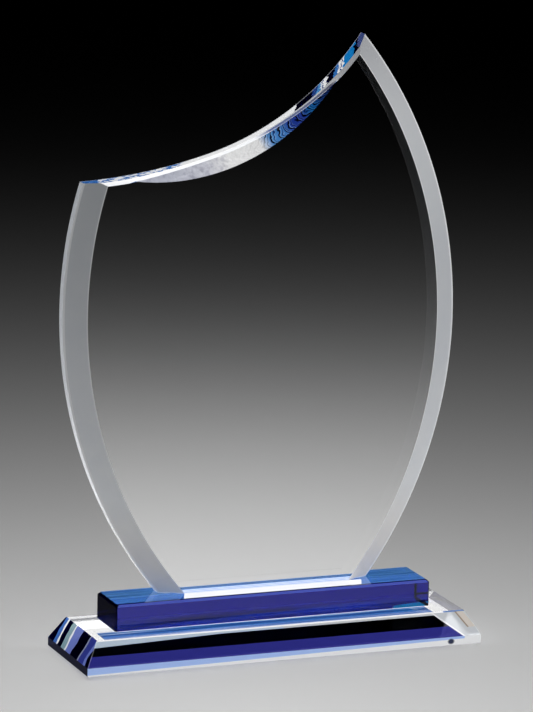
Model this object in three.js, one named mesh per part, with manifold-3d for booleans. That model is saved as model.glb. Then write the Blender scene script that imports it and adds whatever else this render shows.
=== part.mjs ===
// Crystal award: a leaf-shaped clear plate standing on a blue riser bar and a clear, slope-sided base slab.
// Millimetres, +Z up, +X along the length, the front faces -Y. The origin is the middle of the base at table level.
import * as THREE from "three";
import { mergeVertices } from "three/addons/utils/BufferGeometryUtils.js";
import Module from "manifold-3d";

const { Manifold, Mesh: ManifoldMesh } = await startManifold();

// ---------- driving dimensions ----------

const INCH = 25.4;
const BOND = 0.15; // thickness of each cured adhesive film

const foot = {
  height: 1.2,
  seatRadius: 3.2, // where it is stuck to the slab
  contactRadius: 1.6, // where it meets the table
  insetX: 11, // from the slab's end to the foot's centre
  insetY: 9, // from the slab's front or back
};

const base = {
  length: 7.5 * INCH,
  depth: 54,
  height: 14.6,
  land: 4, // the upright part of each side, below the slope
  slopeRun: 6.25, // how far each side leans in over the slope
};

// Each tier stands back from the one below by more at the front than at the rear.
const step = { front: 10.5, rear: 5.5 };

const riser = {
  length: 6 * INCH,
  height: 12.1,
  chamfer: 1, // along the four top edges
};

// Outline of the plate in its own X and Z, with Z = 0 at its bottom edge and X = 0 above the middle of the base.
const plate = {
  sideRadius: 8 * INCH, // both convex sides
  footHalfWidth: 51, // half the width where it meets the riser
  leftWaist: 130, // height where the left side bulges most
  rightWaist: 120, // and the right side
  bevelWidth: 10, // of the front side bevels, at the waist
  bevelRadius: 199.5, // of the bevels' inner edges
  bevelDepth: 4.9, // what they take off the thickness
  blankHeight: 262, // of the blank, before the top is cut
};

// The concave top edge: a shallow arc from the low corner, running into a tighter one that climbs to the peak.
const topEdge = {
  shallowRadius: 243,
  tightRadius: 133,
  lowX: -98.5, // the arc's lowest point would be here
  lowZ: 188.4,
  turn: THREE.MathUtils.degToRad(16.8), // slope where one arc runs into the other
  startX: -100, // both ends of the cut lie outside the blank
  endX: 52,
  chamfer: 1.6, // along its front corner
  chamferBlend: 1.2, // scallop depth over which the chamfer leans over to follow the scallop
};

// A cone ground into the top front corner leaves the long lens-shaped scallop.
const scallop = {
  centreX: -53,
  centreZ: 286,
  radius: 97.7, // in the plane of the front face
  slope: plate.bevelDepth / plate.bevelWidth, // depth for each mm of width
};

const SIDE_STATIONS = 160;
const TOP_STATIONS = 160;
const CONE_SIDES = 720;

// ---------- levels and planes that follow from them ----------

const baseBottom = foot.height;
const baseTop = baseBottom + base.height;
const riserBottom = baseTop + BOND;
const riserTop = riserBottom + riser.height;
const plateBottom = riserTop + BOND;

const baseTopFront = -base.depth / 2 + base.slopeRun;
const baseTopRear = base.depth / 2 - base.slopeRun;
const riserFront = baseTopFront + step.front;
const riserRear = baseTopRear - step.rear;
const plateFront = riserFront + step.front;
const plateRear = riserRear - step.rear;
const bevelRear = plateFront + plate.bevelDepth;

// ---------- materials ----------

const clearCrystal = { color: 0xe9eef2, roughness: 0.02, metalness: 0, transparent: true, opacity: 0.35 };
const blueCrystal = { color: 0x1c2f9c, roughness: 0.02, metalness: 0, transparent: true, opacity: 0.75 };
const adhesive = { color: 0xf2f5f7, roughness: 0.1, metalness: 0, transparent: true, opacity: 0.3 };
const bumper = { color: 0xdfe3e5, roughness: 0.25, metalness: 0, transparent: true, opacity: 0.6 };

// ---------- helpers ----------

async function startManifold() {
  const wasm = await Module();
  wasm.setup();
  return { Manifold: wasm.Manifold, Mesh: wasm.Mesh };
}

// A closed solid lofted through rings that all have the same number of points. Rings run anticlockwise seen from
// the end that the loft moves towards. Each end is closed by a fan from its first point, so an end ring is convex.
function loft(rings) {
  const points = rings.flat();
  const n = rings[0].length;
  const faces = [];
  for (let r = 0; r + 1 < rings.length; r++) {
    for (let i = 0; i < n; i++) {
      const a = r * n + i;
      const b = r * n + ((i + 1) % n);
      faces.push(a, b, b + n, a, b + n, a + n);
    }
  }
  const last = (rings.length - 1) * n;
  for (let i = 1; i + 1 < n; i++) {
    faces.push(0, i + 1, i);
    faces.push(last, last + i, last + i + 1);
  }
  const geometry = new THREE.BufferGeometry();
  geometry.setAttribute("position", new THREE.Float32BufferAttribute(points.flat(), 3));
  geometry.setIndex(faces);
  return geometry;
}

function rectangleRing(x0, x1, y0, y1, z) {
  return [
    [x0, y0, z],
    [x1, y0, z],
    [x1, y1, z],
    [x0, y1, z],
  ];
}

function toManifold(geometry) {
  return new Manifold(
    new ManifoldMesh({
      numProp: 3,
      vertProperties: Float32Array.from(geometry.attributes.position.array),
      triVerts: Uint32Array.from(geometry.index.array),
    }),
  );
}

function toGeometry(solid) {
  const mesh = solid.getMesh();
  const geometry = new THREE.BufferGeometry();
  geometry.setAttribute("position", new THREE.BufferAttribute(mesh.vertProperties, 3));
  geometry.setIndex(new THREE.BufferAttribute(mesh.triVerts, 1));
  return geometry;
}

function namedMesh(name, geometry, look) {
  geometry.computeVertexNormals();
  const mesh = new THREE.Mesh(geometry, new THREE.MeshStandardMaterial(look));
  mesh.name = name;
  return mesh;
}

// ---------- plate outline ----------

// X of a convex side arc at height z. `side` is -1 for the left and +1 for the right.
function sideX(side, radius, waistX, waistZ, z) {
  const centreX = waistX - side * radius;
  return centreX + side * Math.sqrt(radius ** 2 - (z - waistZ) ** 2);
}

// How far out the side reaches at its waist, so that it passes through the stated width at the bottom.
function waistReach(waistZ) {
  return plate.footHalfWidth + plate.sideRadius - Math.sqrt(plate.sideRadius ** 2 - waistZ ** 2);
}

const leftReach = waistReach(plate.leftWaist);
const rightReach = waistReach(plate.rightWaist);

// One horizontal slice of the blank: back corners, lands, and the front face between the bevels.
function plateSlice(z) {
  const outerLeft = sideX(-1, plate.sideRadius, -leftReach, plate.leftWaist, z);
  const outerRight = sideX(1, plate.sideRadius, rightReach, plate.rightWaist, z);
  const innerLeft = sideX(-1, plate.bevelRadius, -leftReach + plate.bevelWidth, plate.leftWaist, z);
  const innerRight = sideX(1, plate.bevelRadius, rightReach - plate.bevelWidth, plate.rightWaist, z);
  return [
    [innerLeft, plateFront, z],
    [innerRight, plateFront, z],
    [outerRight, bevelRear, z],
    [outerRight, plateRear, z],
    [outerLeft, plateRear, z],
    [outerLeft, bevelRear, z],
  ];
}

// Points along the concave top edge, each with its slope angle.
function topEdgePoints() {
  const { shallowRadius, tightRadius, lowX, lowZ, turn, startX, endX } = topEdge;
  const shallowCentre = { x: lowX, z: lowZ + shallowRadius };
  const tightCentre = {
    x: shallowCentre.x + (shallowRadius - tightRadius) * Math.sin(turn),
    z: shallowCentre.z - (shallowRadius - tightRadius) * Math.cos(turn),
  };
  const startAngle = Math.asin((startX - shallowCentre.x) / shallowRadius);
  const endAngle = Math.asin((endX - tightCentre.x) / tightRadius);
  const points = [];
  for (let i = 0; i <= TOP_STATIONS; i++) {
    const angle = THREE.MathUtils.lerp(startAngle, endAngle, i / TOP_STATIONS);
    const [centre, radius] = angle < turn ? [shallowCentre, shallowRadius] : [tightCentre, tightRadius];
    points.push({
      x: centre.x + radius * Math.sin(angle),
      z: centre.z - radius * Math.cos(angle),
      angle,
    });
  }
  return points;
}

// ---------- plate cutters ----------

const CLEARANCE = 5; // how far a cutter reaches past what it cuts

// Everything above the concave top edge.
function topCutter(edge) {
  const front = plateFront - CLEARANCE;
  const rear = plateRear + CLEARANCE;
  const high = plate.blankHeight + CLEARANCE;
  const rings = edge.map(({ x, z }) => [
    [x, front, z],
    [x, rear, z],
    [x, rear, high],
    [x, front, high],
  ]);
  return toManifold(loft(rings));
}

// How deep the scallop lies behind the front face at a point of the outline; 0 outside it.
function scallopDepth(x, z) {
  const distance = Math.hypot(x - scallop.centreX, z - scallop.centreZ);
  return Math.max(0, (scallop.radius - distance) * scallop.slope);
}

function scallopCutter() {
  const front = plateFront - CLEARANCE;
  const rear = plateRear + CLEARANCE;
  const frontRadius = scallop.radius + CLEARANCE / scallop.slope;
  const rearRadius = scallop.radius - (rear - plateFront) / scallop.slope;
  const cone = new THREE.CylinderGeometry(rearRadius, frontRadius, rear - front, CONE_SIDES);
  cone.deleteAttribute("normal");
  cone.deleteAttribute("uv");
  cone.translate(scallop.centreX, (front + rear) / 2, scallop.centreZ);
  return toManifold(mergeVertices(cone));
}

// A triangular bar that follows the top front corner and takes off its chamfer. The chamfer narrows along the
// scallop, where the corner is blunter.
function chamferCutter(edge) {
  const rings = edge.map(({ x, z, angle }) => {
    const depth = scallopDepth(x, z);
    const corner = new THREE.Vector3(x, plateFront + depth, z);
    const leg = topEdge.chamfer - 0.15 * depth;
    const into = new THREE.Vector3(Math.sin(angle), 0, -Math.cos(angle));
    const onScallop = Math.min(1, depth / topEdge.chamferBlend);
    const down = into.clone().add(new THREE.Vector3(0, -scallop.slope * onScallop, 0)).normalize();
    const onTop = corner.clone().add(new THREE.Vector3(0, leg, 0));
    const onFront = corner.clone().addScaledVector(down, leg);
    const outside = corner.clone().addScaledVector(into, -CLEARANCE).add(new THREE.Vector3(0, -CLEARANCE, 0));
    return [onTop.toArray(), outside.toArray(), onFront.toArray()];
  });
  return toManifold(loft(rings));
}

// ---------- pieces ----------

function crystalPlate() {
  const slices = [];
  for (let i = 0; i <= SIDE_STATIONS; i++) slices.push(plateSlice((plate.blankHeight * i) / SIDE_STATIONS));
  const edge = topEdgePoints();
  let solid = toManifold(loft(slices));
  for (const cutter of [topCutter(edge), scallopCutter(), chamferCutter(edge)]) {
    solid = solid.subtract(cutter);
  }
  const mesh = namedMesh("crystal_plate", toGeometry(solid), clearCrystal);
  mesh.position.z = plateBottom;
  return mesh;
}

// The film is trimmed to the outline of the plate's underside.
function plateBond() {
  const outline = plateSlice(0).map(([x, y]) => [x, y, 0]);
  const film = loft([outline, outline.map(([x, y]) => [x, y, BOND])]);
  const mesh = namedMesh("plate_bond", film, adhesive);
  mesh.position.z = riserTop;
  return mesh;
}

function riserBlock() {
  const x = riser.length / 2;
  const c = riser.chamfer;
  const block = loft([
    rectangleRing(-x, x, riserFront, riserRear, 0),
    rectangleRing(-x, x, riserFront, riserRear, riser.height - c),
    rectangleRing(-x + c, x - c, riserFront + c, riserRear - c, riser.height),
  ]);
  const mesh = namedMesh("riser_block", block, blueCrystal);
  mesh.position.z = riserBottom;
  return mesh;
}

function riserBond() {
  const x = riser.length / 2;
  const film = loft([0, BOND].map((z) => rectangleRing(-x, x, riserFront, riserRear, z)));
  const mesh = namedMesh("riser_bond", film, adhesive);
  mesh.position.z = baseTop;
  return mesh;
}

function baseSlab() {
  const x = base.length / 2;
  const y = base.depth / 2;
  const run = base.slopeRun;
  const slab = loft([
    rectangleRing(-x, x, -y, y, 0),
    rectangleRing(-x, x, -y, y, base.land),
    rectangleRing(-x + run, x - run, -y + run, y - run, base.height),
  ]);
  const mesh = namedMesh("base_slab", slab, clearCrystal);
  mesh.position.z = baseBottom;
  return mesh;
}

// A low dome, flattened where it meets the table.
function bumperFoot(name, x, y) {
  const steps = 8;
  const profile = [new THREE.Vector2(0, 0)];
  for (let i = 0; i <= steps; i++) {
    const turn = ((Math.PI / 2) * i) / steps;
    const radius = foot.contactRadius + (foot.seatRadius - foot.contactRadius) * Math.sin(turn);
    profile.push(new THREE.Vector2(radius, foot.height * (1 - Math.cos(turn))));
  }
  profile.push(new THREE.Vector2(0, foot.height));
  const dome = new THREE.LatheGeometry(profile, 40).rotateX(Math.PI / 2);
  const mesh = namedMesh(name, dome, bumper);
  mesh.position.set(x, y, 0);
  return mesh;
}

function feet() {
  const x = base.length / 2 - foot.insetX;
  const y = base.depth / 2 - foot.insetY;
  const group = new THREE.Group();
  group.name = "feet";
  group.add(
    bumperFoot("foot_front_left", -x, -y),
    bumperFoot("foot_front_right", x, -y),
    bumperFoot("foot_rear_left", -x, y),
    bumperFoot("foot_rear_right", x, y),
  );
  return group;
}

// ---------- assembly ----------

const award = new THREE.Group();
award.name = "crystal_award";
award.add(crystalPlate(), plateBond(), riserBlock(), riserBond(), baseSlab(), feet());

export default award;
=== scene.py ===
"""Crystal award: a leaf-shaped clear plate bonded on a blue riser bar and a clear, slope-sided base slab.

The CAD frame gives every piece its place. The crystal blocks are rebuilt here as finer meshes with small edge
chamfers. Wherever two blocks are bonded, each has a patch of its own, so that light passes through the bond
as it does through cured optical adhesive.
"""
import math

import bpy
from mathutils import Matrix, Vector


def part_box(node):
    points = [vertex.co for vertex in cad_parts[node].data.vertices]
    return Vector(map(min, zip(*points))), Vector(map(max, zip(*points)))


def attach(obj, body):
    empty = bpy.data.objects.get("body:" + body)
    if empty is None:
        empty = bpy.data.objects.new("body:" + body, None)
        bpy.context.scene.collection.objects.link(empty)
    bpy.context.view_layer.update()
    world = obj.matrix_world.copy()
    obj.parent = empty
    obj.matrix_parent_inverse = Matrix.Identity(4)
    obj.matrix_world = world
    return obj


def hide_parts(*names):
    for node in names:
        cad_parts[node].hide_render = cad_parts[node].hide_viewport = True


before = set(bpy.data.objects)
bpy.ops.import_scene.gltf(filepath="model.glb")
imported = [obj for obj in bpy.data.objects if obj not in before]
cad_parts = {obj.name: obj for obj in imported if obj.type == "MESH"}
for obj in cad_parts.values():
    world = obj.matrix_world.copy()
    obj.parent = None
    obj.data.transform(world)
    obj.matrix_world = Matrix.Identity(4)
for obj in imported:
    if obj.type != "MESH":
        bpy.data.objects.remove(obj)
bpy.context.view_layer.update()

MM = 0.001

# ---------------------------------------------------------------- places taken from the CAD frame

base_lo, base_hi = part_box("base_slab")
riser_lo, riser_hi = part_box("riser_block")
plate_lo, plate_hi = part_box("crystal_plate")
riser_bond_lo, riser_bond_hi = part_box("riser_bond")
plate_bond_lo, plate_bond_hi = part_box("plate_bond")

# ---------------------------------------------------------------- shape details

BASE_LAND = 4 * MM  # upright part of each side of the slab
BASE_SLOPE_RUN = 6.25 * MM
BASE_EDGE_BREAK = 0.5 * MM  # of its top edges
FRONT_BAND_TOP = 8.35 * MM  # height of the painted blue reflection band on the front slope, above the slab's underside
RISER_CHAMFER = 1 * MM
RISER_CORNER = 0.6 * MM  # its upright edges
EDGE_BREAK = 0.25 * MM  # the polished-off sharp edges
BOND_GAP = 0.01 * MM  # keeps touching faces of two pieces apart

INCH = 25.4 * MM
SIDE_RADIUS = 8 * INCH
FOOT_HALF_WIDTH = 51 * MM
LEFT_WAIST, RIGHT_WAIST = 130 * MM, 120 * MM
BEVEL_WIDTH, BEVEL_DEPTH = 10 * MM, 4.9 * MM
BEVEL_RADIUS = 199.5 * MM
BLANK_HEIGHT = 262 * MM

SHALLOW_RADIUS, TIGHT_RADIUS = 243 * MM, 133 * MM
TOP_LOW = Vector((-98.5 * MM, 188.4 * MM))
TOP_TURN = math.radians(16.8)
TOP_START_X, TOP_END_X = -100 * MM, 52 * MM
TOP_CHAMFER = 1.6 * MM
CHAMFER_BLEND = 1.2 * MM  # scallop depth over which the chamfer leans over to follow it
CHAMFER_NARROWING = 0.15  # how much narrower it gets for each mm of scallop depth

SCALLOP_CENTRE = Vector((-53 * MM, 286 * MM))
SCALLOP_RADIUS = 97.7 * MM
SCALLOP_SLOPE = BEVEL_DEPTH / BEVEL_WIDTH

SIDE_STATIONS = 240
TOP_STATIONS = 240
CONE_SIDES = 1440
CLEARANCE = 5 * MM  # how far a cutter reaches past what it cuts

FOOT_CONTACT = 0.5  # radius where a foot meets the table, as a share of the radius where it is stuck on
FOOT_SIDES, FOOT_STEPS = 48, 12


# ---------------------------------------------------------------- mesh helpers


def new_piece(name, mesh):
    """A new object that holds the mesh. It casts no shadow, as glass in soft light casts hardly any."""
    piece = bpy.data.objects.new(name, mesh)
    bpy.context.scene.collection.objects.link(piece)
    piece.visible_shadow = False
    return piece


def mesh_from(points, faces, slots=None):
    """A mesh of these points and faces; slots lists the material slot of each face."""
    mesh = bpy.data.meshes.new("mesh")
    mesh.from_pydata([tuple(p) for p in points], [], faces)
    if slots:
        for polygon, slot in zip(mesh.polygons, slots):
            polygon.material_index = slot
    mesh.validate()
    mesh.update()
    return mesh


def loft(rings):
    """Points and faces of a closed solid through rings of equal length, anticlockwise seen from above."""
    n = len(rings[0])
    points = [p for ring in rings for p in ring]
    faces = [tuple(reversed(range(n)))]
    for r in range(len(rings) - 1):
        for i in range(n):
            a, b = r * n + i, r * n + (i + 1) % n
            faces.append((a, b, b + n, a + n))
    last = (len(rings) - 1) * n
    faces.append(tuple(range(last, last + n)))
    return points, faces


def block_ring(lo, hi, z, inset=0.0, cut=EDGE_BREAK):
    """A rectangle with its corners cut off, at height z."""
    x0, x1 = lo.x + inset, hi.x - inset
    y0, y1 = lo.y + inset, hi.y - inset
    return [
        Vector((x0 + cut, y0, z)),
        Vector((x1 - cut, y0, z)),
        Vector((x1, y0 + cut, z)),
        Vector((x1, y1 - cut, z)),
        Vector((x1 - cut, y1, z)),
        Vector((x0 + cut, y1, z)),
        Vector((x0, y1 - cut, z)),
        Vector((x0, y0 + cut, z)),
    ]


def block_with_patch(rings, patch, pairs, bonded_bottom):
    """A lofted block whose top face has a bonded patch let into it.

    pairs lists (point of the top ring, point of the patch) once round the top. Slot 0 is polished and slot 1
    bonded.
    """
    points, faces = loft(rings)
    slots = [1 if bonded_bottom else 0] + [0] * (len(faces) - 1)
    faces.pop()
    slots.pop()
    top = (len(rings) - 1) * len(rings[0])
    first = len(points)
    points = points + list(patch)
    for (a, p), (b, q) in zip(pairs, pairs[1:] + pairs[:1]):
        corners = []
        for corner in (top + a, top + b, first + q, first + p):
            if corner not in corners:
                corners.append(corner)
        faces.append(tuple(corners))
        slots.append(0)
    faces.append(tuple(range(first, first + len(patch))))
    slots.append(1)
    return mesh_from(points, faces, slots)


# ---------------------------------------------------------------- plate outline


def side_x(side, radius, waist_x, waist_z, z):
    """X of a convex side arc at height z; side is -1 for the left and 1 for the right."""
    centre = waist_x - side * radius
    return centre + side * math.sqrt(radius**2 - (z - waist_z) ** 2)


def waist_reach(waist_z):
    """How far out a side is at its waist, so that it passes through the stated width at the foot."""
    return FOOT_HALF_WIDTH + SIDE_RADIUS - math.sqrt(SIDE_RADIUS**2 - waist_z**2)


LEFT_REACH, RIGHT_REACH = waist_reach(LEFT_WAIST), waist_reach(RIGHT_WAIST)
plate_front, plate_rear, plate_foot = plate_lo.y, plate_hi.y, plate_lo.z


def plate_slice(height, z):
    """The plate's outline at a height above its own foot, at the world height z."""
    outer_left = side_x(-1, SIDE_RADIUS, -LEFT_REACH, LEFT_WAIST, height)
    outer_right = side_x(1, SIDE_RADIUS, RIGHT_REACH, RIGHT_WAIST, height)
    inner_left = side_x(-1, BEVEL_RADIUS, -LEFT_REACH + BEVEL_WIDTH, LEFT_WAIST, height)
    inner_right = side_x(1, BEVEL_RADIUS, RIGHT_REACH - BEVEL_WIDTH, RIGHT_WAIST, height)
    bevel_rear = plate_front + BEVEL_DEPTH
    return [
        Vector((inner_left, plate_front, z)),
        Vector((inner_right, plate_front, z)),
        Vector((outer_right, bevel_rear, z)),
        Vector((outer_right, plate_rear, z)),
        Vector((outer_left, plate_rear, z)),
        Vector((outer_left, bevel_rear, z)),
    ]


def top_edge():
    """(x, height, slope angle) along the concave top."""
    shallow = TOP_LOW + Vector((0, SHALLOW_RADIUS))
    offset = SHALLOW_RADIUS - TIGHT_RADIUS
    tight = shallow + Vector((math.sin(TOP_TURN), -math.cos(TOP_TURN))) * offset
    start = math.asin((TOP_START_X - shallow.x) / SHALLOW_RADIUS)
    end = math.asin((TOP_END_X - tight.x) / TIGHT_RADIUS)
    stations = []
    for i in range(TOP_STATIONS + 1):
        angle = start + (end - start) * i / TOP_STATIONS
        centre, radius = (shallow, SHALLOW_RADIUS) if angle < TOP_TURN else (tight, TIGHT_RADIUS)
        stations.append((centre.x + radius * math.sin(angle), centre.y - radius * math.cos(angle), angle))
    return stations


def scallop_depth(x, height):
    """How deep the scallop lies behind the front face at a point of the outline; 0 outside it."""
    distance = (Vector((x, height)) - SCALLOP_CENTRE).length
    return max(0.0, (SCALLOP_RADIUS - distance) * SCALLOP_SLOPE)


def top_cutter():
    """Everything above the concave top edge."""
    front, rear = plate_front - CLEARANCE, plate_rear + CLEARANCE
    high = plate_foot + BLANK_HEIGHT + CLEARANCE
    rings = []
    for x, height, _ in top_edge():
        z = plate_foot + height
        corners = ((front, z), (rear, z), (rear, high), (front, high))
        rings.append([Vector((x, corner_y, corner_z)) for corner_y, corner_z in corners])
    return loft(rings)


def scallop_cutter():
    """A cone, wide at the front, that grinds the scallop into the top front corner."""
    front, rear = plate_front - CLEARANCE, plate_rear + CLEARANCE
    rings = []
    for y in (rear, front):
        radius = SCALLOP_RADIUS - (y - plate_front) / SCALLOP_SLOPE
        ring = []
        for i in range(CONE_SIDES):
            turn = math.tau * i / CONE_SIDES
            x = SCALLOP_CENTRE.x + radius * math.cos(turn)
            z = plate_foot + SCALLOP_CENTRE.y + radius * math.sin(turn)
            ring.append(Vector((x, y, z)))
        rings.append(ring)
    return loft(rings)


def chamfer_cutter():
    """A triangular bar along the top front corner. It cuts less along the scallop, where that is blunter."""
    rings = []
    for x, height, angle in top_edge():
        depth = scallop_depth(x, height)
        corner = Vector((x, plate_front + depth, plate_foot + height))
        leg = TOP_CHAMFER - CHAMFER_NARROWING * depth
        into = Vector((math.sin(angle), 0, -math.cos(angle)))
        on_scallop = min(1.0, depth / CHAMFER_BLEND)
        down = (into + Vector((0, -SCALLOP_SLOPE * on_scallop, 0))).normalized()
        outside = corner - into * CLEARANCE - Vector((0, CLEARANCE, 0))
        rings.append([corner + Vector((0, leg, 0)), outside, corner + down * leg])
    return loft(rings)


def cut(target, cutter):
    """Takes the cutter's solid out of the target object."""
    tool = new_piece("cutter", mesh_from(*cutter))
    modifier = target.modifiers.new("cut", "BOOLEAN")
    modifier.object = tool
    modifier.operation = "DIFFERENCE"
    modifier.solver = "EXACT"
    evaluated = target.evaluated_get(bpy.context.evaluated_depsgraph_get())
    mesh = bpy.data.meshes.new_from_object(evaluated)
    target.modifiers.clear()
    old = target.data
    target.data = mesh
    bpy.data.meshes.remove(old)
    bpy.data.objects.remove(tool)


def build_plate():
    """The plate. Slot 0 clear, 1 bonded, 2 bevels and sides, 3 scallop, 4 top chamfer, 5 concave top."""
    slices = []
    for i in range(SIDE_STATIONS + 1):
        height = BLANK_HEIGHT * i / SIDE_STATIONS
        slices.append(plate_slice(height, plate_foot + height))
    plate = new_piece("award_plate", mesh_from(*loft(slices)))
    for cutter in (top_cutter(), scallop_cutter(), chamfer_cutter()):
        cut(plate, cutter)
    for polygon in plate.data.polygons:
        normal, centre = polygon.normal, polygon.center
        outward = normal.x * math.copysign(1, centre.x)
        upright_side = abs(normal.y) < 0.1 and normal.z < 0.8
        slot = 0
        if normal.z < -0.99 and centre.z < plate_foot + BOND_GAP:
            slot = 1
        elif outward > 0.3 and (normal.z < 0.35 or upright_side):
            slot = 2
        elif -0.95 < normal.y < -0.3 and normal.z > 0.05:
            slot = 3 if normal.y < -0.85 else 4
        elif normal.z > 0.3:
            slot = 5
        polygon.material_index = slot
    return plate


def build_riser():
    """The riser.

    Slot 0 blue, 1 bonded, 2 left end and the edges round both ends, 3 front and rear, 4 front chamfer, 5 top.
    """
    rings = [
        block_ring(riser_lo, riser_hi, riser_lo.z, cut=RISER_CORNER),
        block_ring(riser_lo, riser_hi, riser_hi.z - RISER_CHAMFER, cut=RISER_CORNER),
        block_ring(riser_lo, riser_hi, riser_hi.z, RISER_CHAMFER, cut=RISER_CORNER),
    ]
    patch = plate_slice(0, riser_hi.z)
    pairs = [(0, 0), (1, 1), (2, 2), (3, 3), (4, 3), (5, 4), (6, 4), (7, 5)]
    mesh = block_with_patch(rings, patch, pairs, bonded_bottom=True)
    for polygon in mesh.polygons:
        normal = polygon.normal
        if polygon.material_index == 1:
            continue
        if abs(normal.x) > 0.3:
            right_end = normal.x > 0.9
            polygon.material_index = 0 if right_end else 2
        elif abs(normal.y) > 0.9:
            polygon.material_index = 3
        elif 0.3 < normal.z < 0.9 and normal.y < -0.3:
            polygon.material_index = 4
        elif normal.z > 0.9:
            polygon.material_index = 5
    return new_piece("award_riser", mesh)


def build_base():
    """The slab. Slot 0 clear, 1 bonded, 2 blue band, 3 rim, 4 dark band, 5 bright edge, 6 left end; slots 2
    to 6 carry painted reflections, light and shade.
    """
    height = base_hi.z - base_lo.z
    slope = BASE_SLOPE_RUN / (height - BASE_LAND)
    levels = [
        (0, EDGE_BREAK),
        (EDGE_BREAK, 0),
        (BASE_LAND, 0),
        (FRONT_BAND_TOP, slope * (FRONT_BAND_TOP - BASE_LAND)),
        (height - BASE_EDGE_BREAK, BASE_SLOPE_RUN - slope * BASE_EDGE_BREAK),
        (height, BASE_SLOPE_RUN + EDGE_BREAK),
    ]
    rings = [block_ring(base_lo, base_hi, base_lo.z + z, inset) for z, inset in levels]
    patch = block_ring(riser_lo, riser_hi, base_hi.z, cut=RISER_CORNER)
    pairs = [(i, i) for i in range(8)]
    mesh = block_with_patch(rings, patch, pairs, bonded_bottom=False)
    for polygon in mesh.polygons:
        if polygon.normal.x < -0.5:
            polygon.material_index = 6
        if polygon.normal.y > -0.5 or polygon.material_index == 1:
            continue
        z = polygon.center.z - base_lo.z
        if z > height - BASE_EDGE_BREAK:
            polygon.material_index = 5
        elif z < BASE_LAND:
            polygon.material_index = 3
        else:
            polygon.material_index = 2 if z < FRONT_BAND_TOP else 4
    return new_piece("award_base", mesh)


def build_film(name, ring, lo, hi):
    """A cured adhesive film. Slot 0 is its rim, slot 1 its bonded faces."""
    rings = []
    for z in (lo.z + BOND_GAP, hi.z - BOND_GAP):
        rings.append([Vector((p.x, p.y, z)) for p in ring])
    points, faces = loft(rings)
    slots = [1] + [0] * (len(faces) - 2) + [1]
    return new_piece(name, mesh_from(points, faces, slots))


def build_foot(name, node):
    """A low clear dome, widest where it is stuck on and flat where it meets the table."""
    lo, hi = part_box(node)
    centre = (lo + hi) / 2
    seat = (hi.x - lo.x) / 2
    height = hi.z - lo.z
    rings = []
    for s in range(FOOT_STEPS + 1):
        turn = math.pi / 2 * s / FOOT_STEPS
        radius = seat * (FOOT_CONTACT + (1 - FOOT_CONTACT) * math.sin(turn))
        z = lo.z + height * (1 - math.cos(turn))
        ring = []
        for i in range(FOOT_SIDES):
            a = math.tau * i / FOOT_SIDES
            ring.append(Vector((centre.x + radius * math.cos(a), centre.y + radius * math.sin(a), z)))
        rings.append(ring)
    rings[-1] = [Vector((p.x, p.y, p.z - BOND_GAP)) for p in rings[-1]]
    foot = new_piece(name, mesh_from(*loft(rings)))
    foot.data.shade_smooth()
    return foot


# ---------------------------------------------------------------- shader arithmetic


class Field:
    """A number that varies over a surface. Arithmetic and comparisons on it add Math nodes to its tree.

    A comparison gives a mask, 1 where it holds and 0 elsewhere, and masks are joined with & and |.
    """

    def __init__(self, tree, socket):
        self.tree = tree
        self.socket = socket

    def math(self, operation, *others):
        return math_node(self.tree, operation, self, *others)

    def __add__(self, other):
        return self.math("ADD", other)

    def __sub__(self, other):
        return self.math("SUBTRACT", other)

    def __rsub__(self, other):
        return math_node(self.tree, "SUBTRACT", other, self)

    def __mul__(self, other):
        return self.math("MULTIPLY", other)

    def __truediv__(self, other):
        return self.math("DIVIDE", other)

    def __pow__(self, other):
        return self.math("POWER", other)

    def __lt__(self, other):
        return self.math("LESS_THAN", other)

    def __gt__(self, other):
        return self.math("GREATER_THAN", other)

    def __and__(self, other):
        return self.math("MULTIPLY", other)

    def __or__(self, other):
        return self.math("MAXIMUM", other)

    def near(self, middle, reach):
        """A mask of where it is within reach of the middle value."""
        return self.math("COMPARE", middle, reach)


def plug(tree, socket, value):
    """Links a Field or a colour to a socket, or sets the socket to a number or to an (r, g, b)."""
    if isinstance(value, Field):
        tree.links.new(value.socket, socket)
    elif isinstance(value, bpy.types.NodeSocket):
        tree.links.new(value, socket)
    elif isinstance(value, tuple):
        socket.default_value = (*value, 1)
    else:
        socket.default_value = value


def math_node(tree, operation, *values):
    node = tree.nodes.new("ShaderNodeMath")
    node.operation = operation
    for socket, value in zip(node.inputs, values):
        plug(tree, socket, value)
    return Field(tree, node.outputs[0])


def position(tree):
    """X, Y and Z of the shaded point."""
    place = tree.nodes.new("ShaderNodeNewGeometry")
    split = tree.nodes.new("ShaderNodeSeparateXYZ")
    tree.links.new(place.outputs["Position"], split.inputs[0])
    return [Field(tree, socket) for socket in split.outputs]


def distance_from(tree, point):
    place = tree.nodes.new("ShaderNodeNewGeometry")
    distance = tree.nodes.new("ShaderNodeVectorMath")
    distance.operation = "DISTANCE"
    distance.inputs[1].default_value = point
    tree.links.new(place.outputs["Position"], distance.inputs[0])
    return Field(tree, distance.outputs["Value"])


def fading_pool(tree, centre, radius, power, level):
    """level * exp(-(distance / radius) ** power)"""
    ratio = distance_from(tree, centre) / radius
    return (ratio**power * -1.0).math("EXPONENT") * level


def noise(tree, scale, detail=2.0):
    node = tree.nodes.new("ShaderNodeTexNoise")
    node.inputs["Scale"].default_value = scale
    node.inputs["Detail"].default_value = detail
    place = tree.nodes.new("ShaderNodeNewGeometry")
    tree.links.new(place.outputs["Position"], node.inputs["Vector"])
    return Field(tree, node.outputs["Fac"])


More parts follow.
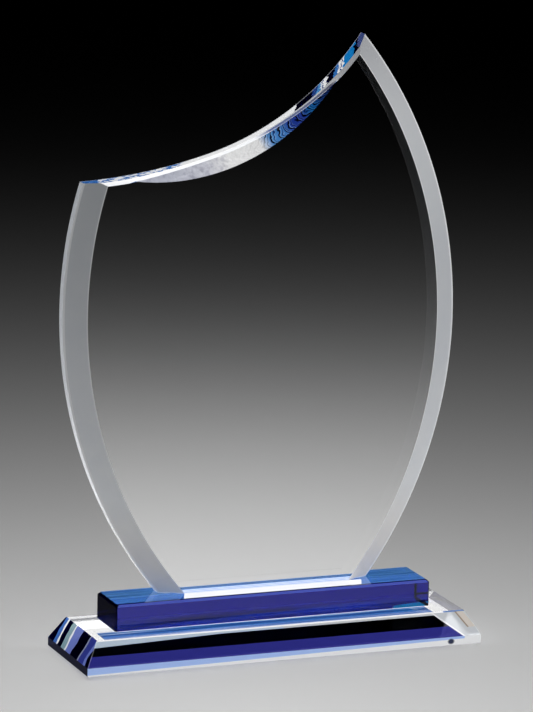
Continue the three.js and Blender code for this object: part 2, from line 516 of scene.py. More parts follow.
def streaks_along_x(across, along_scale, across_scale, detail=2.0):
    """Noise drawn out into streaks along x; across is the coordinate it changes fastest with."""
    tree = across.tree
    node = tree.nodes.new("ShaderNodeTexNoise")
    node.inputs["Scale"].default_value = 1.0
    node.inputs["Detail"].default_value = detail
    place = tree.nodes.new("ShaderNodeCombineXYZ")
    plug(tree, place.inputs["X"], position(tree)[0] * along_scale)
    plug(tree, place.inputs["Y"], across * across_scale)
    tree.links.new(place.outputs[0], node.inputs["Vector"])
    return Field(tree, node.outputs["Fac"])


def colour_ramp(value, stops, stepped=False):
    """The colour for each value of a Field; stops are (value, (r, g, b))."""
    tree = value.tree
    node = tree.nodes.new("ShaderNodeValToRGB")
    if stepped:
        node.color_ramp.interpolation = "CONSTANT"
    elements = node.color_ramp.elements
    while len(elements) < len(stops):
        elements.new(0.5)
    for element, (place, colour) in zip(elements, stops):
        element.position = place
        element.color = (*colour, 1)
    plug(tree, node.inputs[0], value)
    return node.outputs[0]


def number_ramp(value, stops, stepped=False):
    """The number for each value of a Field; stops are (value, number)."""
    greys = [(place, (level, level, level)) for place, level in stops]
    return Field(value.tree, colour_ramp(value, greys, stepped))


def mix_colour(tree, factor, first, second, blend="MIX"):
    """The first colour where factor is 0, going over to the second, or to their product, where it is 1."""
    node = tree.nodes.new("ShaderNodeMix")
    node.data_type = "RGBA"
    node.blend_type = blend
    plug(tree, node.inputs[0], factor)
    plug(tree, node.inputs[6], first)
    plug(tree, node.inputs[7], second)
    return node.outputs[2]


# ---------------------------------------------------------------- materials

CRYSTAL_IOR = 1.52
ADHESIVE_IOR = 1.49
BUMPER_IOR = 1.45
BONDED_IOR = 1.0  # light goes straight on where two blocks are bonded
BLUE_DENSITY = 220.0  # per metre
BLUE_COLOUR = (0.136, 0.545, 0.870, 1)


def principled(name):
    material = bpy.data.materials.new(name)
    material.use_nodes = True
    return material, material.node_tree, material.node_tree.nodes["Principled BSDF"]


def crystal(name, colour=(1, 1, 1), transmission=1.0, roughness=0.0, ior=CRYSTAL_IOR, blue_inside=False):
    """Crystal glass. With less than full transmission its surface shows the given colour diffusely, as a
    ground surface does; below, that colour often carries painted light.
    """
    material, tree, shader = principled(name)
    shader.inputs["Base Color"].default_value = (*colour, 1)
    shader.inputs["Transmission Weight"].default_value = transmission
    shader.inputs["IOR"].default_value = ior
    shader.inputs["Roughness"].default_value = roughness
    if blue_inside:
        volume = tree.nodes.new("ShaderNodeVolumeAbsorption")
        volume.inputs["Color"].default_value = BLUE_COLOUR
        volume.inputs["Density"].default_value = BLUE_DENSITY
        tree.links.new(volume.outputs[0], tree.nodes["Material Output"].inputs["Volume"])
    return material


def paint(material, colour, clearness=None):
    """Gives a material a colour that varies over it, and a transmission that does, where one is given."""
    tree = material.node_tree
    shader = tree.nodes["Principled BSDF"]
    plug(tree, shader.inputs["Base Color"], colour)
    if clearness is not None:
        plug(tree, shader.inputs["Transmission Weight"], clearness)
    return material


# Colours for the painted reflections, highlights and shade of the materials below.
WHITE, BLACK = (0.86, 0.87, 0.88), (0.0, 0.0, 0.004)
SKY_BLUE, NAVY, SLATE = (0.005, 0.19, 0.54), (0.012, 0.04, 0.20), (0.045, 0.07, 0.22)
PERIWINKLE, BRIGHT = (0.12, 0.16, 0.46), (0.70, 0.72, 0.76)
SATIN_SHADE = (0.40, 0.41, 0.43)
EDGE_LIGHT = (0.9, 0.92, 0.95)

# ---------------------------------------------------------------- the scallop

SCALLOP_SPAN = math.radians(60)  # from its lowest point to its right end

# Painted colours along the scallop, from its lowest point (0) to its right end (1): painted pale light and a
# painted white highlight on the left, painted blue and dark reflections on the right.
SCALLOP_ZONES = [
    (0.0, (0.52, 0.54, 0.63)),
    (0.20, (0.66, 0.67, 0.75)),
    (0.32, (1.0, 1.0, 1.0)),
    (0.48, (1.0, 1.0, 1.0)),
    (0.53, (0.10, 0.34, 0.74)),
    (0.60, (0.06, 0.24, 0.64)),
    (0.64, (0.02, 0.06, 0.38)),
    (0.71, (0.02, 0.05, 0.34)),
    (0.76, (0.01, 0.16, 0.46)),
    (0.82, (0.01, 0.05, 0.24)),
    (0.90, (0.003, 0.01, 0.08)),
]
CHEVRON_SHOWS = [(0.28, 0.0), (0.40, 0.09), (0.48, 0.14), (0.53, 1.0)]
PALE_STROKE_SHOWS = [(0.60, 1.0), (0.74, 0.15)]
MOTTLE_SHOWS = [(0.28, 1.0), (0.36, 0.1)]

CHEVRONS = 26  # strokes over the span
CHEVRON_LEAN = 0.6  # for each mm of depth, in strokes
CHEVRON_HOOK, CHEVRON_HOOK_DEPTH = 0.7, 1.3  # they curl where the scallop is shallower than this, in mm
CHEVRON_WOBBLE = 2.4  # strokes

# The painted reflection in one stroke, from its start (0) to the next one's (1).
STROKE_REFLECTION = [
    (0.0, (0.0, 0.0, 0.01)),
    (0.16, (0.0, 0.0, 0.01)),
    (0.22, (1, 1, 1)),
    (0.46, (1, 1, 1)),
    (0.54, (0.10, 0.12, 0.25)),
    (0.60, (0.10, 0.12, 0.25)),
    (0.68, (1, 1, 1)),
    (0.92, (0.8, 0.8, 0.9)),
    (1.0, (0.0, 0.0, 0.01)),
]
STROKE_PALE = [(0.0, 0.0), (0.20, 0.55), (0.29, 0.0), (0.64, 0.4), (0.70, 0.0)]
MOTTLE = [(0.35, (0.74, 0.74, 0.78)), (0.52, (1, 1, 1))]


def from_scallop_axis(tree):
    """How far a point is to the right of the scallop's axis, and how far below it."""
    x, _, z = position(tree)
    return x - SCALLOP_CENTRE.x, (plate_foot + SCALLOP_CENTRE.y) - z


def scallop_turn(tree):
    """How far round the scallop a point is: 0 at its lowest point, 1 at the right end of its span."""
    across, below = from_scallop_axis(tree)
    return across.math("ARCTAN2", below) / SCALLOP_SPAN


def scallop_depth_at(tree):
    """How deep the scallop is ground at a point of it, from its distance to the scallop's axis."""
    across, below = from_scallop_axis(tree)
    reach = (across * across + below * below).math("SQRT")
    return (SCALLOP_RADIUS - reach).math("MAXIMUM", 0.0) * SCALLOP_SLOPE


def chevron_stroke(tree, turn):
    """How far through its chevron stroke a point is, from 0 to 1."""
    depth = scallop_depth_at(tree) * 1000.0  # mm
    hook = (CHEVRON_HOOK_DEPTH - depth).math("MAXIMUM", 0.0) ** 2.0
    lean = hook * CHEVRON_HOOK + depth * CHEVRON_LEAN
    wobble = noise(tree, 190.0) * CHEVRON_WOBBLE
    return (turn * CHEVRONS + wobble - lean).math("FRACT")


def bump(material, height, distance):
    tree = material.node_tree
    node = tree.nodes.new("ShaderNodeBump")
    node.inputs["Strength"].default_value = 1.0
    node.inputs["Distance"].default_value = distance
    plug(tree, node.inputs["Height"], height)
    tree.links.new(node.outputs[0], tree.nodes["Principled BSDF"].inputs["Normal"])


def scallop_crystal():
    """The ground scallop, with painted light: pale and white on the left, and painted reflections of the
    riser's blue in chevrons on the right.
    """
    material = crystal("scallop", transmission=0.0, roughness=0.12)
    tree = material.node_tree
    turn = scallop_turn(tree)
    stroke = chevron_stroke(tree, turn)
    plain = colour_ramp(turn, SCALLOP_ZONES)
    # Painted reflections of the riser's blue, drawn as chevron strokes, with painted pale blue strokes of
    # light among them.
    stroked_reflection = mix_colour(tree, 1.0, plain, colour_ramp(stroke, STROKE_REFLECTION), "MULTIPLY")
    pale = number_ramp(stroke, STROKE_PALE, stepped=True) * number_ramp(turn, PALE_STROKE_SHOWS)
    stroked_reflection = mix_colour(tree, pale, stroked_reflection, (0.35, 0.55, 0.90))
    colour = mix_colour(tree, number_ramp(turn, CHEVRON_SHOWS), plain, stroked_reflection)
    mottle = colour_ramp(noise(tree, 420.0, 4.0), MOTTLE)
    colour = mix_colour(tree, number_ramp(turn, MOTTLE_SHOWS), colour, mottle, "MULTIPLY")
    bump(material, noise(tree, 300.0), 0.4 * MM)
    return paint(material, colour)


# ---------------------------------------------------------------- the rest of the plate

# Painted colours along the top chamfer by scallop turn: its upper half, its lower half, and its lower edge.
# They are painted white highlights on the left, painted navy reflections beside the chevrons, and shaded
# satin grey to the right.
CHAMFER_UPPER = [(0.42, (0.95, 0.95, 0.95)), (0.60, (0.42, 0.44, 0.48)), (0.95, SATIN_SHADE)]
CHAMFER_LOWER = [(0.47, EDGE_LIGHT), (0.55, (0.01, 0.05, 0.24)), (0.9, (0.002, 0.005, 0.05)), (0.93, SATIN_SHADE)]
CHAMFER_EDGE = [(0.50, EDGE_LIGHT), (0.60, (0.20, 0.26, 0.50)), (0.95, SATIN_SHADE)]
CHAMFER_EDGE_ENDS, CHAMFER_UPPER_STARTS = 0.12, 0.55  # across it, from its lower edge (0) to its upper (1)
EDGE_LINE_STRENGTH = 0.6  # of the painted lines of light along ground edges


def chamfer_crystal():
    """The narrow chamfer along the top: a painted white highlight, with a painted navy reflection line under
    it beside the chevrons.
    """
    material = crystal("top_chamfer", transmission=0.1, roughness=0.2)
    tree = material.node_tree
    _, y, _ = position(tree)
    across = (y - plate_front - scallop_depth_at(tree)) / TOP_CHAMFER
    turn = scallop_turn(tree)
    at_edge = across < CHAMFER_EDGE_ENDS
    lower = mix_colour(tree, at_edge, colour_ramp(turn, CHAMFER_LOWER), colour_ramp(turn, CHAMFER_EDGE))
    in_upper = across > CHAMFER_UPPER_STARTS
    return paint(material, mix_colour(tree, in_upper, lower, colour_ramp(turn, CHAMFER_UPPER)))


# Start of each band of painted reflection along the concave top, in mm from the plate's middle, and its
# colour.
TOP_BANDS = [
    (-99, (0.02, 0.11, 0.38)),
    (-83, WHITE),
    (10, BLACK),
    (17.6, NAVY),
    (20, (0.05, 0.22, 0.50)),
    (21.5, WHITE),
    (22.3, NAVY),
    (22.9, WHITE),
    (24.6, BLACK),
    (28, (0.03, 0.15, 0.45)),
    (29.8, WHITE),
    (30.8, SLATE),
    (31.4, WHITE),
    (33, SKY_BLUE),
    (37.6, BLACK),
    (39.3, SLATE),
]
TOP_BANDS_START, TOP_BANDS_SPAN = -100.0, 150.0
TOP_BAND_SLANT = 0.5  # how far a band moves along x for each mm towards the rear
TOP_BAND_WAVER = 4.0  # mm
TOP_SPECKS_SHOW = [(0.05, 1.0), (0.36, 1.0), (0.38, 0.0)]  # where the painted blue reflection specks show, along the bands, from 0 to 1
# Width of the painted line of light along the rear edge.
REAR_EDGE_LINE = 0.5 * MM


def top_crystal():
    """The polished concave top, painted with what it reflects: white, broken by painted blue and black
    reflections at both ends, with blue specks and a line of light along the rear edge.
    """
    material = crystal("top_edge", transmission=0.1, roughness=0.05)
    tree = material.node_tree
    x, y, _ = position(tree)
    middle = (plate_front + plate_rear) / 2
    slanted = (x - (y - middle) * TOP_BAND_SLANT) * 1000.0  # mm
    wavering = slanted + (noise(tree, 500.0) - 0.5) * TOP_BAND_WAVER
    along = (wavering - TOP_BANDS_START) / TOP_BANDS_SPAN
    bands = [((start - TOP_BANDS_START) / TOP_BANDS_SPAN, colour) for start, colour in TOP_BANDS]
    colour = colour_ramp(along, bands, stepped=True)
    specks = (noise(tree, 420.0, 3.0) > 0.5) & number_ramp(along, TOP_SPECKS_SHOW)
    colour = mix_colour(tree, specks, colour, (0.05, 0.17, 0.48))
    rear_edge = y > plate_rear - REAR_EDGE_LINE
    return paint(material, mix_colour(tree, rear_edge * EDGE_LINE_STRENGTH, colour, (0.45, 0.46, 0.50)))


# Painted shade of the bevels from the plate's foot (0) to its peak (1), paler and warmer towards the foot.
BEVEL_SHADES = [
    (0.0, (0.84, 0.79, 0.72)),
    (0.07, (0.80, 0.78, 0.75)),
    (0.18, (0.80, 0.82, 0.84)),
    (0.37, (0.68, 0.70, 0.73)),
    (0.56, (0.56, 0.58, 0.61)),
    (0.75, (0.47, 0.49, 0.51)),
    (1.0, (0.39, 0.40, 0.42)),
]
BEVEL_GRAIN = [(0.3, (0.94, 0.95, 0.97)), (0.7, (1, 1, 1))]
# Width of the painted highlight lines along the bevel's edges.
BEVEL_LINE = 0.2 * MM


def bevel_crystal():
    """The finely ground side bevels and edges: painted shade that grows paler towards the foot, and a painted
    highlight line along each edge.
    """
    material = crystal("ground_bevel", transmission=0.3, roughness=0.35)
    tree = material.node_tree
    _, y, z = position(tree)
    shade = colour_ramp((z - plate_foot) / (plate_hi.z - plate_foot), BEVEL_SHADES)
    grain = colour_ramp(noise(tree, 90.0, 5.0), BEVEL_GRAIN)
    colour = mix_colour(tree, 1.0, shade, grain, "MULTIPLY")
    in_depth = y - plate_front
    edges = in_depth.near(BEVEL_DEPTH - BEVEL_LINE, BEVEL_LINE) | (in_depth < BEVEL_LINE)
    return paint(material, mix_colour(tree, edges * EDGE_LINE_STRENGTH, colour, (0.95, 0.96, 0.97)))


# Painted streaks of blue and pale light in the bond under the plate, and their pitch.
BOND_STREAK_PITCH = 3.5 * MM
BOND_LIGHT_STREAKS = [(0.12, (0.12, 0.24, 0.60)), (0.30, (0.42, 0.50, 0.64)), (0.90, (0.58, 0.63, 0.72))]


def bond_crystal():
    """The cured adhesive under the plate, with painted streaks of blue and pale light along the plate."""
    material = crystal("bond_light_streaks", transmission=0.2, ior=BONDED_IOR)
    _, y, _ = position(material.node_tree)
    wave = (y * (math.tau / BOND_STREAK_PITCH)).math("SINE")
    return paint(material, colour_ramp(wave * 0.5 + 0.5, BOND_LIGHT_STREAKS))


# ---------------------------------------------------------------- the riser

# Painted azure light in fine streaks on the riser's top.
RISER_TOP_AZURE = [(0.34, (0.04, 0.15, 0.43)), (0.46, (0.07, 0.24, 0.57)), (0.62, (0.12, 0.31, 0.66))]
RISER_TOP_CLEARNESS = 0.45
MIRROR_LEAN = 0.405  # how far a painted reflected upright leans along x, for each mm towards the front
WHITE_PAST_BEVEL = 6.5 * MM  # how far the painted white reflection runs past the inner edge of the right bevel
FRONT_LINE = 1.6 * MM  # the painted dark line along the front of the top


def riser_top_crystal():
    """The riser's polished top: painted azure light in fine streaks, a painted white reflection of the middle
    of the plate, and a painted dark line along the front.
    """
    material = crystal("riser_top", roughness=0.08, blue_inside=True)
    tree = material.node_tree
    x, y, _ = position(tree)
    azure = colour_ramp(streaks_along_x(y, 14.0, 380.0), RISER_TOP_AZURE)
    in_front = plate_front - y
    mirrored_x = in_front * MIRROR_LEAN + x
    left_foot, right_foot = plate_slice(0, 0)[:2]
    white = (mirrored_x > left_foot.x) & (mirrored_x < right_foot.x + WHITE_PAST_BEVEL) & (in_front > 0.0)
    colour = mix_colour(tree, white, azure, (0.92, 0.93, 0.98))
    front_line = y < riser_lo.y + RISER_CHAMFER + FRONT_LINE
    colour = mix_colour(tree, front_line, colour, (0.002, 0.004, 0.04))
    return paint(material, colour, clearness=(1.0 - white) * RISER_TOP_CLEARNESS)


INDIGO_TINT = (0.36, 0.05, 0.66)
# Painted streaks of navy and azure light low down on the front.
FRONT_STREAKS = [(0.40, (0.20, 0.02, 0.04)), (0.50, (0.55, 0.20, 0.25)), (0.62, (0.9, 1.0, 0.6))]
INDIGO_ABOVE = [(0.30, 0.0), (0.50, 1.0)]  # by height, from the riser's foot (0) to its top (1)
# A painted pool of azure light low down near the right end of the front.
AZURE_BELOW = [(0.10, 1.0), (0.24, 0.0)]
AZURE_REACH = [(0.12, 1.0), (0.6, 0.0)]  # by distance from the right end, in AZURE_SCALE
AZURE_SCALE = 50 * MM
AZURE_RAGGED, AZURE_LEVEL = 0.8, 0.9  # the share of the streaks in its edge, and the level where it starts
AZURE_OPACITY = 0.7  # how much of the clearness it takes away
END_INSET = 7 * MM  # how far in from its right edge the riser's front shows the painted dark frame of its right end
END_CORNER = 0.35  # height at which the frame's upright turns into its slant
END_LINE = 0.45 * MM  # half the width of the upright
END_HALFWAY_LINE, END_SLANT_LINE = 0.04, 0.07  # half the heights of the other two lines


def end_frame(from_end, up):
    """The painted dark lines of the riser's right end, seen through the front: an upright, a line halfway up,
    and a slant to the corner.
    """
    upright = from_end.near(END_INSET, END_LINE) & (up > END_CORNER)
    halfway = up.near(0.5, END_HALFWAY_LINE)
    slant = up.near(from_end * (END_CORNER / END_INSET), END_SLANT_LINE)
    return upright | ((halfway | slant) & (from_end < END_INSET))


def riser_front_crystal():
    """The riser's front and rear: even indigo, but with painted streaks of navy and azure light low down on
    the front, a painted azure pool by its right end, and the painted dark frame of that end.
    """
    material = crystal("blue_front", blue_inside=True)
    tree = material.node_tree
    x, y, z = position(tree)
    up = (z - riser_lo.z) / (riser_hi.z - riser_lo.z)
    from_end = riser_hi.x - x
    rear = y > riser_hi.y - RISER_CHAMFER
    front = 1.0 - rear
    streaks = streaks_along_x(z, 14.0, 420.0, 3.0)
    indigo = number_ramp(up, INDIGO_ABOVE) | rear
    colour = mix_colour(tree, indigo, colour_ramp(streaks, FRONT_STREAKS), INDIGO_TINT)
    pool = number_ramp(from_end / AZURE_SCALE, AZURE_REACH) * number_ramp(up, AZURE_BELOW)
    azure = (streaks * AZURE_RAGGED + pool > AZURE_LEVEL) & front
    colour = mix_colour(tree, azure, colour, (0.0, 0.19, 0.43))
    colour = mix_colour(tree, end_frame(from_end, up) & front, colour, (0.001, 0.001, 0.004))
    return paint(material, colour, clearness=1.0 - azure * AZURE_OPACITY)


# ---------------------------------------------------------------- the slab

# How clear the glass stays under the painted pale light.
PAINTED_LIGHT_CLEARNESS = 0.3
# The painted pale light of the right end starts at a line that moves to the left as it climbs the slope.
RIGHT_END_START, RIGHT_END_LEAN = 91.9 * MM, 1.37
RIGHT_END_LINE = 0.6 * MM
# The painted pale wedge of light along the top of the slope: level at the right, widening to the left.
WEDGE_HEIGHT, WEDGE_FROM, WEDGE_SLOPE = 13.3 * MM, -30 * MM, 0.026
# Two warm painted reflection strips in the lit right end, which lean less.
WARM_LEAN, WARM_ABOVE = 0.75, 7.5 * MM
AMBER_AT, AMBER_HALF = 95.1 * MM, 0.4 * MM
BEIGE_AT, BEIGE_HALF = 97.2 * MM, 1.6 * MM


def front_slope_crystal(name, colour, transmission):
    """The slab's front slope: its given painted band, and painted pale light at the right end and in a wedge
    along the top.
    """
    material = crystal(name, roughness=0.03)
    tree = material.node_tree
    x, _, z = position(tree)
    height = z - base_lo.z
    past_end = x + height * RIGHT_END_LEAN
    wedge_low = (x - WEDGE_FROM).math("MINIMUM", 0.0) * WEDGE_SLOPE + WEDGE_HEIGHT
    painted_light_patch = (past_end > RIGHT_END_START) | (height > wedge_low)
    painted_light_colour = mix_colour(tree, x > 0.0, (0.60, 0.72, 0.86), (0.70, 0.73, 0.77))  # the wedge is the bluer one
    # A painted highlight line where the lit right end starts.
    end_line = past_end.near(RIGHT_END_START + RIGHT_END_LINE, RIGHT_END_LINE)
    painted_light_colour = mix_colour(tree, end_line, painted_light_colour, (0.98, 0.98, 1.0))
    along = x + height * WARM_LEAN
    high = height > WARM_ABOVE
    painted_light_colour = mix_colour(tree, along.near(AMBER_AT, AMBER_HALF) & high, painted_light_colour, (0.40, 0.30, 0.22))
    painted_light_colour = mix_colour(tree, along.near(BEIGE_AT, BEIGE_HALF) & high, painted_light_colour, (0.80, 0.73, 0.66))
    clearness = painted_light_patch * (PAINTED_LIGHT_CLEARNESS - transmission) + transmission
    return paint(material, mix_colour(tree, painted_light_patch, colour, painted_light_colour), clearness)


# Where the painted blue reflection on the edge starts, past the riser.
BLUE_EDGE_PAST_RISER = 2.5 * MM


def bright_edge_crystal():
    """The slab's front top edge: a painted highlight line, with a painted blue reflection at the right end,
    past the riser.
    """
    material = crystal("bright_edge", transmission=0.3, roughness=0.2)
    tree = material.node_tree
    x, _, _ = position(tree)
    past_riser = x > riser_hi.x + BLUE_EDGE_PAST_RISER
    return paint(material, mix_colour(tree, past_riser, (0.95, 0.95, 0.97), (0.03, 0.14, 0.42)))


RIM_WHITE_HEIGHT, RIM_WHITE_CLIMB = 1.9 * MM, 0.0113  # the painted white line of light: its height at x = 0, and its rise along x
RIM_WHITE_FROM = 87 * MM  # the rim is painted all white with light from here to its right end
RIM_SPOT_X, RIM_SPOT_HEIGHT = 80.3 * MM, 1.9 * MM  # where the painted dark spot of the right front foot, seen through the rim, is centred
RIM_SPOT_HALF_WIDTH, RIM_SPOT_HALF_HEIGHT = 1.9 * MM, 1.5 * MM


def rim_crystal():
    """The slab's upright front: painted periwinkle light over a painted white line of light, and the painted
    dark spot of the foot behind it.
    """
    material = crystal("rim", transmission=0.0, roughness=0.25)
    tree = material.node_tree
    x, _, z = position(tree)
    height = z - base_lo.z
    white = (height < x * RIM_WHITE_CLIMB + RIM_WHITE_HEIGHT) | (x > RIM_WHITE_FROM)
    colour = mix_colour(tree, white, (0.40, 0.57, 1.0), (0.95, 0.96, 0.98))
    aside = (x - RIM_SPOT_X) / RIM_SPOT_HALF_WIDTH
    above = (height - RIM_SPOT_HEIGHT) / RIM_SPOT_HALF_HEIGHT
    spot = number_ramp(aside * aside + above * above, [(0.35, 1.0), (1.0, 0.0)])
    return paint(material, mix_colour(tree, spot, colour, (0.01, 0.02, 0.07)))


# Painted reflections in the slab's left slope, as bands from its rear (0) to its front (1).
LEFT_BANDS = [
    (0.0, (0.03, 0.18, 0.42)),
    (0.02, BLACK),
    (0.14, (0.03, 0.10, 0.36)),
    (0.19, BRIGHT),
    (0.215, BLACK),
    (0.31, (0.18, 0.28, 0.32)),
    (0.41, BRIGHT),
    (0.435, PERIWINKLE),
    (0.56, BLACK),
    (0.74, (0.20, 0.22, 0.34)),
    (0.765, (0.025, 0.035, 0.22)),
    (0.88, PERIWINKLE),
    (0.92, BLACK),
]
LEFT_BAND_WAVER = 0.12


def left_slope_crystal():
    """The slab's left end: painted reflections of the riser and the table in bands that run down the slope,
    and painted shade on the upright part below.
    """
    material = crystal("left_slope", transmission=0.15, roughness=0.05, ior=1.05)
    tree = material.node_tree
    _, y, z = position(tree)
    from_rear = (base_hi.y - y) / (base_hi.y - base_lo.y)
    wavering = from_rear + (noise(tree, 90.0) - 0.5) * LEFT_BAND_WAVER
    colour = colour_ramp(wavering, LEFT_BANDS, stepped=True)
    return paint(material, mix_colour(tree, z < base_lo.z + BASE_LAND, colour, (0.003, 0.004, 0.02)))


# ---------------------------------------------------------------- the pieces, dressed


def dress(piece, node, materials):
    """Gives a piece its materials in slot order, and puts it in the place of its CAD node."""
    for material in materials:
        piece.data.materials.append(material)
    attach(piece, "root")
    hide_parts(node)


clear = crystal("clear_crystal")
clear_bonded = crystal("clear_bonded", ior=BONDED_IOR)
film = crystal("adhesive", ior=ADHESIVE_IOR)
bumper = crystal("clear_bumper", ior=BUMPER_IOR)

plate_looks = [
    clear,
    clear_bonded,
    bevel_crystal(),
    scallop_crystal(),
    chamfer_crystal(),
    top_crystal(),
]
riser_looks = [
    crystal("blue_crystal", blue_inside=True),
    crystal("blue_bonded", ior=BONDED_IOR, blue_inside=True),
    # The riser's left end is painted near black: painted shade.
    crystal("blue_end", (0.001, 0.001, 0.004), ior=1.03, blue_inside=True),
    riser_front_crystal(),
    crystal("blue_edge", (0.05, 0.075, 0.42), 0.25, 0.15, ior=1.2, blue_inside=True),
    riser_top_crystal(),
]
base_looks = [
    clear,
    clear_bonded,
    # The front slope's painted bands: an indigo reflection band low down, and a dark band of painted shade
    # above it.
    front_slope_crystal("front_band_painted_reflection", (0.026, 0.027, 0.22), 0.1),
    rim_crystal(),
    front_slope_crystal("front_dark_painted_shade", (0.003, 0.003, 0.004), 1.0),
    bright_edge_crystal(),
    left_slope_crystal(),
]

dress(build_plate(), "crystal_plate", plate_looks)
dress(build_riser(), "riser_block", riser_looks)
dress(build_base(), "base_slab", base_looks)

riser_outline = block_ring(riser_lo, riser_hi, 0, cut=RISER_CORNER)
riser_film = build_film("award_riser_bond", riser_outline, riser_bond_lo, riser_bond_hi)
dress(riser_film, "riser_bond", [film, clear_bonded])
plate_film = build_film("award_plate_bond", plate_slice(0, 0), plate_bond_lo, plate_bond_hi)
dress(plate_film, "plate_bond", [film, bond_crystal()])

for corner in ("front_left", "front_right", "rear_left", "rear_right"):
    node = "foot_" + corner
    dress(build_foot("award_" + node, node), node, [bumper])

# ---------------------------------------------------------------- camera

VIEW_YAW = math.radians(22.07)
VIEW_PITCH = math.radians(12.25)
VIEW_ROLL = math.radians(1.4)
VIEW_DISTANCE = 2.005
VIEW_TARGET = Vector((-0.0029, 0, 0.1354))
FOCAL_LENGTH = 226.3  # mm


def build_camera():
    level = math.cos(VIEW_PITCH)
    back = Vector((-math.sin(VIEW_YAW) * level, -math.cos(VIEW_YAW) * level, math.sin(VIEW_PITCH)))
    right = (-back).cross(Vector((0, 0, 1))).normalized()
    up = right.cross(-back)
    rolled_right = right * math.cos(VIEW_ROLL) + up * math.sin(VIEW_ROLL)
    rolled_up = up * math.cos(VIEW_ROLL) - right * math.sin(VIEW_ROLL)
    camera = bpy.data.objects.new("camera", bpy.data.cameras.new("camera"))
    bpy.context.scene.collection.objects.link(camera)
    camera.data.lens = FOCAL_LENGTH
    camera.data.clip_start = 0.1
    camera.data.clip_end = 50
    axes = Matrix((rolled_right, rolled_up, back)).transposed().to_4x4()
    camera.matrix_world = Matrix.Translation(VIEW_TARGET + back * VIEW_DISTANCE) @ axes
    bpy.context.scene.camera = camera


build_camera()

# ---------------------------------------------------------------- floor and backdrop

FLOOR_RADIUS, FLOOR_SIDES = 3.5, 96
FLOOR_PALE = 0.485
POOL_CENTRE = Vector((-0.0564, -0.139, 0))  # the painted pool of light on the floor is palest a little in front of the award
POOL_RADIUS, POOL_POWER = 0.473, 1.484

# Brightness of the sky by the sine of the angle above the horizon: dark low down, bright overhead.
SKY = [(0.0, 0.0), (0.68, 0.0), (0.80, 0.95), (1.0, 1.0)]
SKY_STRENGTH = 2.4


def build_floor():
    """A pale disc whose colour fades to black with distance: a painted pool of light, as on a studio sweep
    lit over its front.
    """
    points = [Vector((0, 0, 0))]
    for i in range(FLOOR_SIDES):
        a = math.tau * i / FLOOR_SIDES
        points.append(Vector((FLOOR_RADIUS * math.cos(a), FLOOR_RADIUS * math.sin(a), 0)))
    faces = [(0, i + 1, (i + 1) % FLOOR_SIDES + 1) for i in range(FLOOR_SIDES)]
    floor = new_piece("floor", mesh_from(points, faces))
    material, tree, shader = principled("floor")
    shader.inputs["Roughness"].default_value = 1
    shader.inputs["Specular IOR Level"].default_value = 0
    paint(material, fading_pool(tree, POOL_CENTRE, POOL_RADIUS, POOL_POWER, FLOOR_PALE))
    floor.data.materials.append(material)


def build_sky():
    world = bpy.data.worlds.new("studio")
    bpy.context.scene.world = world
    world.use_nodes = True
    tree = world.node_tree
    direction = tree.nodes.new("ShaderNodeTexCoord").outputs["Generated"]
    split = tree.nodes.new("ShaderNodeSeparateXYZ")
    tree.links.new(direction, split.inputs[0])
    background = tree.nodes["Background"]
    plug(tree, background.inputs["Color"], number_ramp(Field(tree, split.outputs[2]), SKY))
    background.inputs["Strength"].default_value = SKY_STRENGTH


build_floor()
build_sky()

# ---------------------------------------------------------------- lights


def softbox(name, place, target, size, radiance):
    """A soft square lamp, unseen itself, that shows in the crystal."""
    data = bpy.data.lights.new(name, "AREA")
    data.shape = "SQUARE"
    data.size = size
    data.energy = radiance * math.pi * size**2
    lamp = bpy.data.objects.new(name, data)
    bpy.context.scene.collection.objects.link(lamp)
    lamp.location = place
    lamp.rotation_euler = (Vector(target) - Vector(place)).to_track_quat("-Z", "Y").to_euler()
    lamp.visible_camera = False


softbox("key", place=(1.7, -1.0, 0.45), target=(0, 0, 0.12), size=0.6, radiance=20.0)
softbox("rim", place=(-1.6, 0.35, 0.60), target=(0, 0, 0.15), size=0.6, radiance=9.0)


def glowing_sheet(name, x_range, y_range, z, set_glow, glass_only):
    """A flat staged sheet of light. set_glow(tree, glow) sets up its emission."""
    (x0, x1), (y0, y1) = x_range, y_range
    corners = [(x0, y0, z), (x1, y0, z), (x1, y1, z), (x0, y1, z)]
    sheet = new_piece(name, mesh_from(corners, [(0, 1, 2, 3)]))
    material = bpy.data.materials.new(name)
    material.use_nodes = True
    tree = material.node_tree
    tree.nodes.remove(tree.nodes["Principled BSDF"])
    glow = tree.nodes.new("ShaderNodeEmission")
    set_glow(tree, glow)
    surface = glow.outputs[0]
    if glass_only:
        see_through = tree.nodes.new("ShaderNodeBsdfTransparent")
        both = tree.nodes.new("ShaderNodeAddShader")
        tree.links.new(glow.outputs[0], both.inputs[0])
        tree.links.new(see_through.outputs[0], both.inputs[1])
        surface = both.outputs[0]
        sheet.visible_camera = False
        sheet.visible_diffuse = False
    tree.links.new(surface, tree.nodes["Material Output"].inputs["Surface"])
    sheet.data.materials.append(material)


TABLE_X, TABLE_Y, TABLE_Z = (-88 * MM, 88 * MM), (-22 * MM, 25 * MM), 0.3 * MM
TABLE_STRENGTH = 1.4
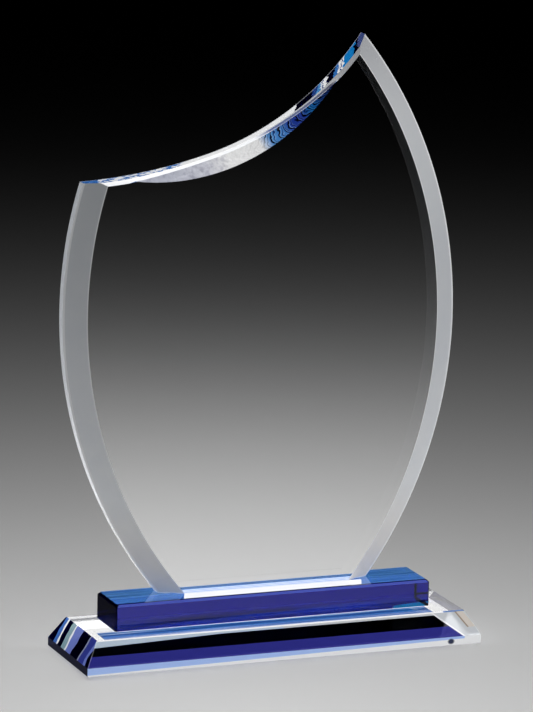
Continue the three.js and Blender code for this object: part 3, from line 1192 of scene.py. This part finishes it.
# Colours of the blue strip from its front (0) to its rear (1).
TABLE_STRIP = [
    (0.10, (1, 1, 1)),
    (0.22, (0.42, 0.50, 0.82)),
    (0.42, (0.11, 0.22, 0.54)),
    (0.62, (0.01, 0.06, 0.25)),
    (0.78, (0.06, 0.19, 0.50)),
    (1.0, (1, 1, 1)),
]
STRIP_FRONT, STRIP_DEPTH, STRIP_HALF_LENGTH = -13 * MM, 20 * MM, 80 * MM
STRIP_WAVER = 0.9


def table_light(tree, glow):
    """White, with the blue streaks that the riser throws on it."""
    x, y, _ = position(tree)
    streaks = streaks_along_x(y, 12.0, 420.0, 3.0)
    depth = (y - STRIP_FRONT) / STRIP_DEPTH + (streaks - 0.5) * STRIP_WAVER
    past_ends = x.math("ABSOLUTE") > STRIP_HALF_LENGTH
    colour = mix_colour(tree, past_ends, colour_ramp(depth, TABLE_STRIP), (1.0, 1.0, 1.0))
    plug(tree, glow.inputs["Color"], colour)
    glow.inputs["Strength"].default_value = TABLE_STRENGTH


GLOW_REACH, GLOW_Z = 1.4, 0.8 * MM
GLOW_LEVEL, GLOW_RADIUS, GLOW_POWER = 0.19, 0.505, 2.7
GLOW_CLEAR, GLOW_FULL = 5 * MM, 35 * MM  # distances from the slab where it starts and where it is full


def floor_glow(tree, glow):
    """Lifts what shows through the plate; none under the slab."""
    x, y, _ = position(tree)
    past_slab = (x.math("ABSOLUTE") - base_hi.x) | (y.math("ABSOLUTE") - base_hi.y)
    clear_of_slab = tree.nodes.new("ShaderNodeMapRange")
    clear_of_slab.interpolation_type = "SMOOTHSTEP"
    clear_of_slab.inputs["From Min"].default_value = GLOW_CLEAR
    clear_of_slab.inputs["From Max"].default_value = GLOW_FULL
    plug(tree, clear_of_slab.inputs["Value"], past_slab)
    pool = fading_pool(tree, (0, 0, 0), GLOW_RADIUS, GLOW_POWER, GLOW_LEVEL)
    plug(tree, glow.inputs["Strength"], pool * Field(tree, clear_of_slab.outputs[0]))


glowing_sheet("light_table", TABLE_X, TABLE_Y, TABLE_Z, table_light, glass_only=False)
glow_range = (-GLOW_REACH, GLOW_REACH)
glowing_sheet("floor_glow", glow_range, glow_range, GLOW_Z, floor_glow, glass_only=True)

# ---------------------------------------------------------------- scene settings

scene = bpy.context.scene
scene.view_settings.view_transform = "Standard"
scene.cycles.max_bounces = 48
scene.cycles.transmission_bounces = 48
scene.cycles.glossy_bounces = 24
scene.cycles.transparent_max_bounces = 32
